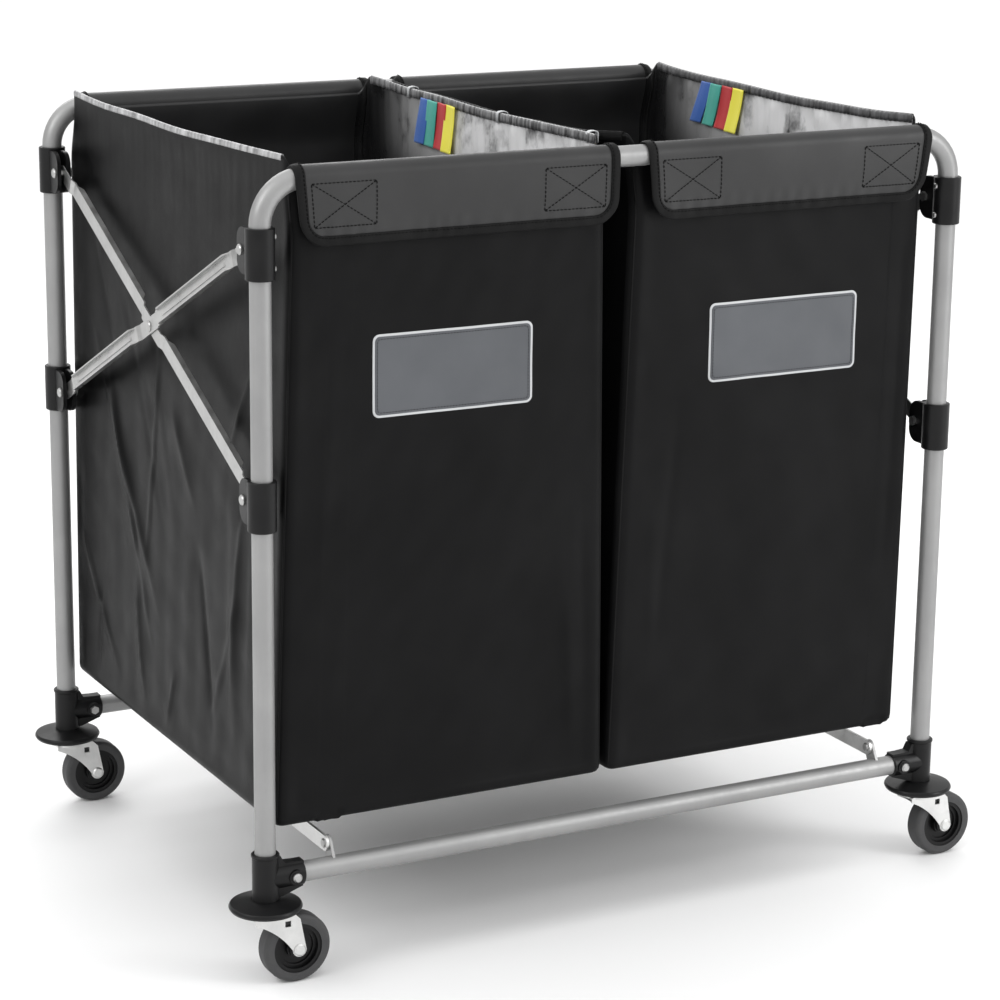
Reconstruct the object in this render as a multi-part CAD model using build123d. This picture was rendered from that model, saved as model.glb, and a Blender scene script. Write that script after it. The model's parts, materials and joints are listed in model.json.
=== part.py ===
from build123d import *
import os
from math import atan2, cos, degrees, hypot, sin

# A folding laundry cart with two bags. Two inverted-U tube frames stand on four swivel
# casters. An X of two pressed bars at each end joins them. Millimetres, +Z up, +X along
# the long side, front at -Y. The origin is on the floor under the cart's middle.

# ---- driving dimensions ----
LEG_X = 410.0            # leg centre to the middle, along X
FRAME_Y = 298.0          # frame plane to the middle, along Y
TOP_Z = 842.0            # centreline of the top rails
BEND_R = 45.5            # centreline radius of the hoop's corners
TUBE_R = 11.0            # hoop tube, outside
TUBE_WALL = 1.2
LEG_END_Z = 99.0         # lower end of the legs, inside the corner sockets
RAIL_Z = 118.0           # centreline of the bottom rails
RAIL_R = 11.0            # bottom rail tube, outside

PIVOT_IN = 30.0          # brace pivots, inboard of the leg's centre
UPPER_Z = 770.0          # clamps fixed to the legs
LOWER_Z = 515.0          # sleeves that slide on the legs
SLEEVE_R = 15.0
SLEEVE_H = 52.0
SLEEVE_GAP = 0.3         # sliding sleeve to leg
CLAMP_GAP = 0.05         # fixed clamp to leg
EAR_GAP = 3.5            # half the space between a bracket's two ears
EAR_T = 4.5
EAR_REACH = 39.0         # from the leg's centre to the ear's far edge
EAR_CORNER_R = 14.0
BOLT_R = 3.0
BOLT_HOLE_R = 3.05       # running clearance for bolts and rivets

BAR_W = 17.0             # pressed brace bar
BAR_T = 1.6
BAR_STEP = 2.6           # how far the channel stands off the flattened lengths
BAR_LIP = 4.6            # height of the channel's lips
BAR_GAP = 0.6            # between the two bars where they cross
BAR_PLANE_X = 409.5      # plane between the two bars of an X

STRUT_Y = 286.0          # pivots of the floor struts, at their tabs
STRUT_Z = 140.0
STRUT_X = (-337.0, 345.0)
STRUT_T = 3.0
STRUT_W = 17.0
TAB_T = 3.0
TAB_R = 8.5
SIDE_GAP = 0.3           # between a link and its tab, or the link beside it

WHEEL_R = 37.5
WHEEL_W = 22.0
WHEEL_LEAD = 32.0        # wheel centre to swivel axis, trailing towards +X
HUB_R = 27.0
AXLE_R = 4.0
BUMPER_R = 38.6
BUMPER_Z = (78.7, 94.7)
PIN_HOLE_R = 5.6         # for the caster's pin
SOCKET_Z = (95.0, 145.0)
SOCKET_BOLT_X = LEG_X - 29.5
SOCKET_HALF = 14.5       # half the socket's width across its bolt

CLOTH = 1.6              # plain thickness of the bags' cloth
WALL_Z = 168.0           # lowest edge of the bags
FLAP_Z = 775.0           # lower edge of the flaps over the top rails
FLAPS_X = ((-374.0, -15.0), (24.0, 374.0))
BASES_X = ((-391.0, -12.0), (2.0, 368.0))
PANEL_Y = 295.0          # outer face of the front and rear panels, below the flaps
FLOOR_HINGE = 292.0      # seam that a bag's floor half turns about
FLOOR_SEAM_R = 1.2
FLOOR_SLOT = (18.0, 135.0)   # width and reach of the slot that clears the strut links
FLOOR_NEAR = 40.0        # from the middle to a floor half's free edge
# side walls, as (x at the top, x at the bottom) of the face towards -X
WALLS_X = (((-382.0, -397.0), (-16.0, -10.5)), ((-11.0, -2.5), (371.5, 371.5)))

PIVOT_Y = FRAME_Y - PIVOT_IN
BAR_L = hypot(2 * PIVOT_Y, UPPER_Z - LOWER_Z)
BAR_ANGLE = atan2(UPPER_Z - LOWER_Z, 2 * PIVOT_Y)
CROSS_Z = (UPPER_Z + LOWER_Z) / 2

FRONT, REAR = -1, 1
LEFT, RIGHT = -1, 1
SIDES = ((FRONT, LEFT, "fl"), (FRONT, RIGHT, "fr"), (REAR, LEFT, "rl"), (REAR, RIGHT, "rr"))
NAMES = {FRONT: "front", REAR: "rear"}

os.makedirs("parts", exist_ok=True)


def save(name, *solids):
    """Writes one node, with one or several separate solids."""
    shape = solids[0] if len(solids) == 1 else Compound(children=list(solids))
    shape.label = name
    export_step(shape, f"parts/{name}.step")


def bar_between(a, b, radius, hole=0.0):
    """A round bar or tube from point a to point b."""
    a, b = Vector(*a), Vector(*b)
    plane = Plane(origin=a, z_dir=b - a)
    length = (b - a).length
    section = Circle(radius) - Circle(hole) if hole else Circle(radius)
    return extrude(plane * section, length)


def bolt(at, way, length, head_r=5.0, head_t=3.6, nut_t=4.0):
    """A bolt whose head sits at point at, with its shank going along way to a nut."""
    head = Pos(0, 0, -head_t / 2) * Cylinder(head_r, head_t)
    head = chamfer(head.edges().filter_by(GeomType.CIRCLE).sort_by(Axis.Z)[0], head_t * 0.45)
    shank = Pos(0, 0, (length + nut_t) / 2) * Cylinder(BOLT_R, length + nut_t)
    nut = Pos(0, 0, length) * extrude(RegularPolygon(head_r, 6), nut_t)
    return Plane(origin=Vector(*at), z_dir=Vector(*way)).location * (head + shank + nut)


def rivet(at, way, length, head_r, head_t, both=True):
    """A rivet from point at along way, with a domed head at its far end or at both ends."""
    body = Pos(0, 0, length / 2) * Cylinder(BOLT_R, length)
    head = Pos(0, 0, head_t / 2) * Cylinder(head_r, head_t)
    head = chamfer(head.edges().filter_by(GeomType.CIRCLE).sort_by(Axis.Z)[-1], head_t * 0.6)
    body += Pos(0, 0, length) * head
    if both:
        body += Rot(180, 0, 0) * head
    return Plane(origin=Vector(*at), z_dir=Vector(*way)).location * body


# ---- frames ----
def hoop(end):
    """The bent tube of one frame: two legs and the top rail between them."""
    y = end * FRAME_Y
    corners = [
        (-LEG_X, y, LEG_END_Z),
        (-LEG_X, y, TOP_Z),
        (LEG_X, y, TOP_Z),
        (LEG_X, y, LEG_END_Z),
    ]
    path = FilletPolyline(*corners, radius=BEND_R)
    section = Plane(origin=corners[0], z_dir=(0, 0, 1))
    return sweep(section * (Circle(TUBE_R) - Circle(TUBE_R - TUBE_WALL)), path=path)


def strut_tab_faces(end):
    """X of the middle of each strut's link on this frame. Rear links lie beside front ones."""
    shift = 0.0 if end == FRONT else STRUT_T + SIDE_GAP
    return [x + shift for x in STRUT_X]


def bottom_rail(end):
    """The lower tube with the two tabs that are welded on for the floor struts."""
    y = end * FRAME_Y
    reach = LEG_X - TUBE_R - 7
    rail = bar_between((-reach, y, RAIL_Z), (reach, y, RAIL_Z), RAIL_R, RAIL_R - TUBE_WALL)
    core = bar_between((-reach, y, RAIL_Z), (reach, y, RAIL_Z), RAIL_R - TUBE_WALL / 2)
    outline = make_hull(
        (Pos(end * FRAME_Y, RAIL_Z) * Circle(TAB_R)).edges()
        + (Pos(end * STRUT_Y, STRUT_Z) * Circle(TAB_R)).edges()
    )
    for x in strut_tab_faces(end):
        tab = extrude(Plane.YZ.offset(x + STRUT_T / 2 + SIDE_GAP) * outline, TAB_T)
        rail += tab - core
        rail -= bar_between((x - 10, end * STRUT_Y, STRUT_Z), (x + 10, end * STRUT_Y, STRUT_Z), BOLT_HOLE_R)
    for x in (-SOCKET_BOLT_X, SOCKET_BOLT_X):
        rail -= bar_between((x, y - 30, RAIL_Z), (x, y + 30, RAIL_Z), BOLT_HOLE_R)
    return rail


def corner_socket(end, side):
    """The plastic corner that holds a leg's lower end and the bottom rail's end."""
    x, y = side * LEG_X, end * FRAME_Y
    low, high = SOCKET_Z
    sleeve_r, arm_r, arm_reach, lip, plate_half = 13.8, 13.2, 41.0, 3.5, 6.0
    sleeve = bar_between((x, y, low), (x, y, high), sleeve_r)
    rim = bar_between((x, y, high - lip), (x, y, high), sleeve_r + 1.0)
    rim = chamfer(rim.edges().filter_by(GeomType.CIRCLE), 0.8)
    arm = bar_between((x, y, RAIL_Z), (x - side * arm_reach, y, RAIL_Z), arm_r)
    arm = chamfer(arm.edges().filter_by(GeomType.CIRCLE).sort_by(Axis.X)[0 if side > 0 else -1], 0.8)
    web = [
        (x, low + 1),
        (x - side * 17, low + 2),
        (x - side * (arm_reach - 1), RAIL_Z - arm_r),
        (x - side * arm_reach, RAIL_Z + arm_r + 1),
        (x - side * (arm_reach - 10), RAIL_Z + arm_r + 1),
        (x - side * 19, high - 12),
        (x - side * 15, high - 4),
        (x, high - 4),
    ]
    plate = extrude(Plane.XZ.offset(-y) * make_face(Polyline(*web, close=True)), plate_half, both=True)
    bolt_x = side * SOCKET_BOLT_X
    boss = bar_between((bolt_x, y - SOCKET_HALF, RAIL_Z), (bolt_x, y + SOCKET_HALF, RAIL_Z), 8)
    body = sleeve + rim + arm + plate + boss
    body -= bar_between((x, y, LEG_END_Z - 0.2), (x, y, high + 1), TUBE_R + CLAMP_GAP)
    rail_end = (x - side * (TUBE_R + 6.5), y, RAIL_Z)
    body -= bar_between(rail_end, (x - side * (arm_reach + 1), y, RAIL_Z), RAIL_R + CLAMP_GAP)
    body -= bar_between((x, y, low - 1), (x, y, LEG_END_Z + 1), PIN_HOLE_R)
    body -= bar_between((bolt_x, y - 30, RAIL_Z), (bolt_x, y + 30, RAIL_Z), BOLT_HOLE_R)
    return body


def bumper(end, side):
    """The saucer-shaped bumper between the caster and the corner socket."""
    low, high = BUMPER_Z
    section = [
        (PIN_HOLE_R, low),
        (21.0, low),
        (BUMPER_R - 1.6, low + 6.0),
        (BUMPER_R, low + 9.0),
        (BUMPER_R - 1.4, low + 12.0),
        (15.5, high),
        (PIN_HOLE_R, high),
    ]
    face = make_face(Polyline(*section, close=True))
    rim = [v for v in face.vertices() if v.X > BUMPER_R - 3]
    face = fillet(rim, 1.8)
    saucer = revolve(Plane.XZ * face, Axis.Z)
    return saucer.moved(Location((side * LEG_X, end * FRAME_Y, 0)))


# ---- brackets for the braces ----
def bracket(end, side, z, gap):
    """A sleeve round the leg with two ears that hold the end of a brace bar."""
    x, y = side * LEG_X, end * FRAME_Y
    half = SLEEVE_H / 2
    sleeve = bar_between((x, y, z - half), (x, y, z + half), SLEEVE_R)
    sleeve = chamfer(sleeve.edges().filter_by(GeomType.CIRCLE), 0.8)
    outline = Pos(y - end * EAR_REACH / 2, z) * RectangleRounded(EAR_REACH, SLEEVE_H - 5, EAR_CORNER_R)
    body = sleeve
    for way in (-1, 1):
        ear = extrude(Plane.YZ.offset(x + way * EAR_GAP) * outline, way * EAR_T)
        body += ear
    body -= bar_between((x, y, z - half - 1), (x, y, z + half + 1), TUBE_R + gap)
    body -= bar_between(
        (x - 20, y - end * PIVOT_IN, z), (x + 20, y - end * PIVOT_IN, z), BOLT_HOLE_R
    )
    return body


def pivot_bolt(end, side, z):
    """The bolt through a bracket's ears, with its domed head on the outside."""
    x = side * (LEG_X + EAR_GAP + EAR_T)
    span = 2 * (EAR_GAP + EAR_T)
    return bolt((x, end * PIVOT_Y, z), (-side, 0, 0), span, head_r=5.6, head_t=2.6, nut_t=3.5)


def clamp_rivets(end, side):
    """The heads of the two rivets that close a fixed clamp round its leg."""
    x = side * (LEG_X - SLEEVE_R - 0.02)
    heights = (UPPER_Z - 16.0, UPPER_Z + 16.0)
    return [rivet((x, end * FRAME_Y, z), (-side, 0, 0), 0.5, 3.2, 1.4, both=False) for z in heights]


def brace(first_end, side, way):
    """One pressed bar, from the fixed clamp on first_end's leg down to the other leg's sleeve.
    It is flat at its ends and where it crosses the other bar, and a lipped channel between.
    way is 1 for the bar outside the plane between the two, and -1 for the one inside."""
    base = BAR_GAP / 2
    tongue, ramp, flat = 28.0, 6.0, 26.0
    half = BAR_L / 2
    run = [
        (-BAR_W / 2, base),
        (tongue, base),
        (tongue + ramp, base + BAR_STEP),
        (half - flat - ramp, base + BAR_STEP),
        (half - flat, base),
        (half + flat, base),
        (half + flat + ramp, base + BAR_STEP),
        (BAR_L - tongue - ramp, base + BAR_STEP),
        (BAR_L - tongue, base),
        (BAR_L + BAR_W / 2, base),
    ]
    outline = run + [(u, w + BAR_T) for u, w in reversed(run)]
    # local x along the bar, local y across it, local z away from the other bar
    along = Vector(0, -first_end * cos(BAR_ANGLE), -sin(BAR_ANGLE))
    plane = Plane(
        origin=(side * BAR_PLANE_X, first_end * PIVOT_Y, UPPER_Z),
        x_dir=along,
        z_dir=(side * way, 0, 0),
    )
    web = extrude(Plane.XZ * make_face(Polyline(*outline, close=True)), BAR_W / 2, both=True)
    ends = Circle(BAR_W / 2) + Pos(BAR_L, 0) * Circle(BAR_W / 2)
    ends += Pos(half, 0) * Rectangle(BAR_L, BAR_W)
    web = web & extrude(ends, 20)
    lip_start = base + BAR_STEP
    lip_runs = (
        (tongue + ramp + 4, half - flat - ramp - 4),
        (half + flat + ramp + 4, BAR_L - tongue - ramp - 4),
    )
    for start, stop in lip_runs:
        slope = 10.0
        lip = [
            (start, lip_start),
            (stop, lip_start),
            (stop - slope, lip_start + BAR_T + BAR_LIP),
            (start + slope, lip_start + BAR_T + BAR_LIP),
        ]
        lip_face = Plane.XZ * make_face(Polyline(*lip, close=True))
        for edge in (-BAR_W / 2 + BAR_T, BAR_W / 2):
            web += Pos(0, edge, 0) * extrude(lip_face, BAR_T)
        rib = [
            (start + 14, lip_start + BAR_T - 0.2),
            (stop - 14, lip_start + BAR_T - 0.2),
            (stop - 18, lip_start + BAR_T + 1.0),
            (start + 18, lip_start + BAR_T + 1.0),
        ]
        ridge = extrude(Plane.XZ * make_face(Polyline(*rib, close=True)), 1.8, both=True)
        web += ridge
    for u in (0.0, half, BAR_L):
        web -= Pos(u, 0, 0) * Cylinder(BOLT_HOLE_R, 40)
    if way == -1:
        lug = Pos(half + 19, BAR_W / 2 - 1.5, base + 3.4) * Box(9, 3, 5)
        web += lug
    return plane.location * web


def crossing_rivet(side):
    """The rivet where the two bars of an X cross."""
    reach = BAR_GAP / 2 + BAR_T
    at = (side * (BAR_PLANE_X - reach - 0.1), 0, CROSS_Z)
    return rivet(at, (side, 0, 0), 2 * reach + 0.2, 6.0, 1.8)


# ---- floor struts ----
def strut_link(end, x):
    """One flat link, from its frame's tab to the middle of the cart."""
    outline = make_hull(
        (Pos(end * STRUT_Y, STRUT_Z) * Circle(STRUT_W / 2)).edges()
        + (Pos(0, STRUT_Z) * Circle(STRUT_W / 2)).edges()
    )
    link = extrude(Plane.YZ.offset(x - STRUT_T / 2) * outline, STRUT_T)
    for y in (end * STRUT_Y, 0):
        link -= bar_between((x - 5, y, STRUT_Z), (x + 5, y, STRUT_Z), BOLT_HOLE_R)
    return link


def strut_rivet(end, x):
    """The rivet through a strut's link and tab."""
    length = STRUT_T + SIDE_GAP + TAB_T
    return rivet((x - STRUT_T / 2, end * STRUT_Y, STRUT_Z), (1, 0, 0), length, 5.0, 1.5)


def middle_rivet(x):
    """The rivet at the rear link's free end, which stops short of the front link beside it."""
    return rivet((x - STRUT_T / 2 + 0.2, 0, STRUT_Z), (1, 0, 0), STRUT_T - 0.2, 5.0, 1.4, both=False)


# ---- casters ----
def caster_stem(end, side):
    """The pin fixed in the leg that the fork turns on, with its rivet head under the crown."""
    x, y = side * LEG_X, end * FRAME_Y
    stem = bar_between((x, y, 73.0), (x, y, 138.0), 5.5)
    head = bar_between((x, y, 72.0), (x, y, 75.4), 9.0)
    head = chamfer(head.edges().filter_by(GeomType.CIRCLE).sort_by(Axis.Z)[0], 1.2)
    plug = bar_between((x, y, 100.0), (x, y, 136.0), TUBE_R - TUBE_WALL - 0.05)
    plug = chamfer(plug.edges().filter_by(GeomType.CIRCLE).sort_by(Axis.Z)[-1], 2.0)
    return stem + head + plug


def caster_fork(end, side):
    """The pressed fork: a crown under the bumper and two cheeks down to the axle."""
    crown_z, crown_t, cheek_t, crown_r = 75.9, 2.2, 2.0, 19.0
    back, front, nose_r, top = -17.0, 27.0, 7.6, crown_z + crown_t
    cheek_y = WHEEL_W / 2 + 1.6
    reach = cheek_y + cheek_t
    # one cheek in (x, z): broad under the crown, hollowed behind, round at the axle
    spine = [
        Polyline((WHEEL_LEAD + nose_r, WHEEL_R), (front + 6, crown_z - 4), (front, top), (back, top)),
        Line((back, top), (back, top - 6)),
        ThreePointArc((back, top - 6), (7, 57.5), (WHEEL_LEAD - nose_r, WHEEL_R)),
        ThreePointArc(
            (WHEEL_LEAD - nose_r, WHEEL_R),
            (WHEEL_LEAD, WHEEL_R - nose_r),
            (WHEEL_LEAD + nose_r, WHEEL_R),
        ),
    ]
    window = Pos(19, 68.5) * Rectangle(6.5, 6.5)
    cheek = make_face(spine) - window
    fork = Pos(0, 0, crown_z + crown_t / 2) * Cylinder(crown_r, crown_t)
    fork += Pos((back + front) / 2, 0, crown_z + crown_t / 2) * Box(front - back, 2 * reach, crown_t)
    for way in (-1, 1):
        inner = way * cheek_y
        fork += extrude(Plane.XZ.offset(-inner) * cheek, -way * cheek_t)
    fork -= Pos(0, 0, crown_z) * Cylinder(5.55, 10)
    fork -= Pos(WHEEL_LEAD, 0, WHEEL_R) * Rot(90, 0, 0) * Cylinder(AXLE_R + 0.03, 60)
    axle = Pos(WHEEL_LEAD, 0, WHEEL_R) * Rot(90, 0, 0) * Cylinder(AXLE_R, 2 * reach)
    for way in (-1, 1):
        cap = Pos(WHEEL_LEAD, way * (reach + 1.2), WHEEL_R) * Rot(90, 0, 0) * Cylinder(6.5, 2.4)
        rim = cap.edges().filter_by(GeomType.CIRCLE).sort_by(Axis.Y)
        axle += chamfer(rim[-1] if way > 0 else rim[0], 1.4)
    place = Location((side * LEG_X, end * FRAME_Y, 0))
    return fork.moved(place), axle.moved(place)


def wheel_place(end, side):
    """Where a wheel's centre stands, with its axle along Y."""
    centre = (side * LEG_X + WHEEL_LEAD, end * FRAME_Y, WHEEL_R)
    return Location(centre) * Location((0, 0, 0), (90, 0, 0))


def caster_hub(end, side):
    """The hub: a disc with a stepped recess on each face and a boss round the axle."""
    hub = Cylinder(HUB_R - 0.05, WHEEL_W - 3)
    for way in (-1, 1):
        face = way * (WHEEL_W - 3) / 2
        recess = Cylinder(HUB_R - 4, 8) - Cylinder(12, 8)
        hub -= Pos(0, 0, face) * recess
        step = Cylinder(HUB_R - 8, 12) - Cylinder(12, 12)
        hub -= Pos(0, 0, face) * step
    hub += Cylinder(10, WHEEL_W + 2.4)
    hub -= Cylinder(AXLE_R + 0.06, 40)
    return hub.moved(wheel_place(end, side))


def caster_tyre(end, side):
    """The soft tread round the hub, with rounded shoulders."""
    tyre = Cylinder(WHEEL_R, WHEEL_W)
    tyre = fillet(tyre.edges().filter_by(GeomType.CIRCLE), 5.0)
    tyre -= Cylinder(HUB_R, WHEEL_W + 2)
    return tyre.moved(wheel_place(end, side))


# ---- bags ----
def bag_panel(end, bag):
    """The front or rear panel of one bag: up inside the top rail, over it, and down outside."""
    left, right = FLAPS_X[bag]
    low_left, low_right = BASES_X[bag]
    inner_r = TUBE_R + 0.6
    outer_r = inner_r + CLOTH
    knee_z = FLAP_Z + 6
    # section in (y, z), drawn for the rear frame and mirrored for the front one
    inside = Line((FRAME_Y - inner_r, TOP_Z), (PANEL_Y, knee_z))
    over = ThreePointArc(
        (FRAME_Y - outer_r, TOP_Z), (FRAME_Y, TOP_Z + outer_r), (FRAME_Y + outer_r, TOP_Z)
    )
    under = ThreePointArc(
        (FRAME_Y - inner_r, TOP_Z), (FRAME_Y, TOP_Z + inner_r), (FRAME_Y + inner_r, TOP_Z)
    )
    flap = [
        (FRAME_Y + outer_r, TOP_Z),
        (FRAME_Y + 7 + CLOTH, FLAP_Z),
        (FRAME_Y + 7, FLAP_Z),
        (FRAME_Y + inner_r, TOP_Z),
    ]
    back = [
        inside @ 1,
        (PANEL_Y - CLOTH, knee_z),
        (FRAME_Y - outer_r, TOP_Z),
    ]
    loop = make_face([over, Polyline(*flap), under, inside, Polyline(*back)])
    loop = extrude(Plane.YZ.offset(left) * loop, right - left)
    sheet = [
        (left, knee_z + 0.5),
        (right, knee_z + 0.5),
        (low_right, WALL_Z),
        (low_left, WALL_Z),
    ]
    wall = extrude(Plane.XZ.offset(CLOTH - PANEL_Y) * make_face(Polyline(*sheet, close=True)), -CLOTH)
    panel = loop + wall
    return panel if end == REAR else mirror(panel, about=Plane.XZ)


def bag_wall(top_x, low_x):
    """A side wall of a bag, leaning as the cloth hangs, between the two top rails."""
    low_y, high_y = PANEL_Y - 3, FRAME_Y - TUBE_R - CLOTH - 2.0
    knee_z, top_z = FLAP_Z - 10, 858.0
    lean = (top_x - low_x) / (top_z - WALL_Z)

    def at(y, z):
        return (low_x + lean * (z - WALL_Z), y, z)

    ring = [(-low_y, WALL_Z), (-low_y, knee_z), (-high_y, knee_z + 24), (-high_y, top_z)]
    ring += [(-y, z) for y, z in reversed(ring)]
    face = Face(Wire.make_polygon([at(y, z) for y, z in ring], close=True))
    return Solid.extrude(face, Vector(CLOTH, 0, 0))


def bag_base(end, bag):
    """Half of a bag's floor, which turns up about its seam as the cart folds. Its slot clears the
    strut links, and its free edge stops short of the other half."""
    left, right = BASES_X[bag]
    left, right = left + 3, right - 3
    reach = FLOOR_HINGE - FLOOR_NEAR
    plate = Pos((left + right) / 2, end * (FLOOR_NEAR + reach / 2)) * Box(right - left, reach, CLOTH)
    plate += bar_between((left, end * FLOOR_HINGE, 0), (right, end * FLOOR_HINGE, 0), FLOOR_SEAM_R)
    wide, to = FLOOR_SLOT
    plate -= Pos(STRUT_X[bag] + (STRUT_T + SIDE_GAP) / 2, end * to / 2) * Box(wide, to, 10)
    return plate.moved(Location((0, 0, WALL_Z + 1.5)))


def ribbon(x, y):
    """One hanging colour tag."""
    return Box(0.8, 24.0, 55.0).moved(Location((x, y, 822.0)))


RIBBON_Y = (154.0, 126.0, 99.0, 72.0)
CLIP_Y = (173.0, -49.0, -250.0)
PATCH_X = ((-287.0, -105.0), (109.0, 297.0))
PATCH_Z = (592.0, 678.0)

for end in (FRONT, REAR):
    name = NAMES[end]
    save(f"{name}_hoop", hoop(end))
    save(f"{name}_bottom_rail", bottom_rail(end))
    bolts = [pivot_bolt(end, side, UPPER_Z) for side in (LEFT, RIGHT)]
    for side in (LEFT, RIGHT):
        at = (side * SOCKET_BOLT_X, end * (FRAME_Y + SOCKET_HALF), RAIL_Z)
        bolts.append(bolt(at, (0, -end, 0), 2 * SOCKET_HALF))
    save(f"{name}_frame_bolts", *bolts)
    rivets = clamp_rivets(end, LEFT) + clamp_rivets(end, RIGHT)
    rivets += [strut_rivet(end, x) for x in strut_tab_faces(end)]
    save(f"{name}_frame_rivets", *rivets)
    save(f"{name}_slider_bolts", *[pivot_bolt(end, side, LOWER_Z) for side in (LEFT, RIGHT)])
    save(f"{name}_strut_links", *[strut_link(end, x) for x in strut_tab_faces(end)])
    save(f"{name}_caster_stems", *[caster_stem(end, side) for side in (LEFT, RIGHT)])
    save(f"{name}_bag_bases", *[bag_base(end, bag) for bag in (0, 1)])
    for bag, bag_name in enumerate(("left", "right")):
        save(f"{bag_name}_bag_{name}", bag_panel(end, bag))

for end, side, place in SIDES:
    save(f"corner_socket_{place}", corner_socket(end, side))
    save(f"bumper_{place}", bumper(end, side))
    save(f"clamp_{place}", bracket(end, side, UPPER_Z, CLAMP_GAP))
    save(f"slider_{place}", bracket(end, side, LOWER_Z, SLEEVE_GAP))
    save(f"caster_fork_{place}", *caster_fork(end, side))
    save(f"caster_hub_{place}", caster_hub(end, side))
    save(f"caster_tyre_{place}", caster_tyre(end, side))

for side, name in ((LEFT, "left"), (RIGHT, "right")):
    save(f"{name}_outer_brace", brace(FRONT, side, 1))
    save(f"{name}_inner_brace", brace(REAR, side, -1))
save("crossing_rivets", *[crossing_rivet(side) for side in (LEFT, RIGHT)])
save("strut_middle_rivets", *[middle_rivet(x) for x in strut_tab_faces(REAR)])

for bag, name in enumerate(("left", "right")):
    save(f"{name}_bag_sides", *[bag_wall(top, low) for top, low in WALLS_X[bag]])
save(
    "colour_ribbons",
    *[ribbon(-17.5, y) for y in RIBBON_Y],
    *[ribbon(370.0, y) for y in RIBBON_Y],
)
save("divider_clips", *[Box(2.4, 9, 12).moved(Location((-12.7, y, 852))) for y in CLIP_Y])
save(
    "front_patches",
    *[
        Box(b - a, 0.8, PATCH_Z[1] - PATCH_Z[0]).moved(
            Location(((a + b) / 2, -PANEL_Y - 0.5, sum(PATCH_Z) / 2))
        )
        for a, b in PATCH_X
    ],
)
print(f"brace length {BAR_L:.2f} mm at {degrees(BAR_ANGLE):.3f} degrees")
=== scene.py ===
import json
import math
import random

import bpy
import numpy as np
from mathutils import Matrix, Vector


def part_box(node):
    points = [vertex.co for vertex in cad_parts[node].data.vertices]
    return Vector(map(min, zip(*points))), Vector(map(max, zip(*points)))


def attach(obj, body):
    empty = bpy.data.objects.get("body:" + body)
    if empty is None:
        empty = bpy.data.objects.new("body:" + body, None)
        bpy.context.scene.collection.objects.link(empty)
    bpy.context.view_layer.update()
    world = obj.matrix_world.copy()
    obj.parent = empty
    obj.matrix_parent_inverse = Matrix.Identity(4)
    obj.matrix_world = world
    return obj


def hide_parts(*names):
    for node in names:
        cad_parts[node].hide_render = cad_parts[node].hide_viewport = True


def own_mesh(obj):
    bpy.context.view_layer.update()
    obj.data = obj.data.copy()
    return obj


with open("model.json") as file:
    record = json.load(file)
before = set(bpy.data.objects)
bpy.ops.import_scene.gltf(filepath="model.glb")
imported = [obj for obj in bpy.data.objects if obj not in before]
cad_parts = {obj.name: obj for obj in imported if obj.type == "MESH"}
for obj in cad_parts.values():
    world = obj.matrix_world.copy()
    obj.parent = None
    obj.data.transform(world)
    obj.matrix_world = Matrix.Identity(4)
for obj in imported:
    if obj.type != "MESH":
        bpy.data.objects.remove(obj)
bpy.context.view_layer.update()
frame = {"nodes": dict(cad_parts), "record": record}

# A folding laundry cart with two cloth bags, in metres, front at -Y.
MM = 0.001

# ---- places, read from the frame ----
NODES = frame["nodes"]
HOOP_LO, HOOP_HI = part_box("front_hoop")
TUBE_R = (HOOP_HI.y - HOOP_LO.y) / 2
FRAME_Y = -(HOOP_LO.y + HOOP_HI.y) / 2
RAIL_Z = HOOP_HI.z - TUBE_R
LEG_X = HOOP_HI.x - TUBE_R
BAG_LOW_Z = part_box("left_bag_front")[0].z
BEND_R = 45.5 * MM
FRONT, REAR = -1, 1

CLOTH_IN = 4.8 * MM
PANEL_HALF = FRAME_Y - 3 * MM     # from the cart's middle to the front and rear cloth

# how far the floor's margin turns in at the sides and at the ends, with slots over the struts
HEM_SIDE = 19.0 * MM
HEM_END = 29.0 * MM
HEM_AT_SLOT = 3 * MM
STRUT_X = (-335.5 * MM, 346.5 * MM)
SLOT_HALF = 14 * MM

PATCH_X = ((-287 * MM, -105 * MM), (109 * MM, 297 * MM))
PATCH_MIDDLE_Z = 635 * MM
PATCH_TALL = 86 * MM
CLIP_Y = (173 * MM, -49 * MM, -250 * MM)

LENS_MM = 108.6768
CAMERA_PLACE = (-1.5648, -2.9788, 1.2962)
CAMERA_TURN = (-27.968, 14.860, 0.697)     # yaw, pitch and roll in degrees


# ---- mesh helpers ----
def grid_object(name, points, uv, closed=False):
    """A smooth quad mesh through an array of points, rows by columns, with a UV map in metres."""
    rows, cols = points.shape[:2]
    span = cols if closed else cols - 1
    faces, loops = [], []
    for i in range(rows - 1):
        for j in range(span):
            k = (j + 1) % cols
            faces.append((i * cols + j, i * cols + k, (i + 1) * cols + k, (i + 1) * cols + j))
            loops += [(i, j), (i, j + 1), (i + 1, j + 1), (i + 1, j)]
    mesh = bpy.data.meshes.new(name)
    mesh.from_pydata(points.reshape(-1, 3).tolist(), [], faces)
    layer = mesh.uv_layers.new(name="cloth")
    flat = np.array([uv[i][j] for i, j in loops], np.float32)
    layer.data.foreach_set("uv", flat.ravel())
    mesh.polygons.foreach_set("use_smooth", [True] * len(mesh.polygons))
    obj = bpy.data.objects.new(name, mesh)
    bpy.context.scene.collection.objects.link(obj)
    return obj


def lengths_along(points, axis):
    """Running length of a grid's lines along one axis, for its UV map."""
    step = np.linalg.norm(np.diff(points, axis=axis), axis=2)
    start = np.zeros_like(np.take(step, [0], axis=axis))
    return np.concatenate([start, np.cumsum(step, axis=axis)], axis=axis)


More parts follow.
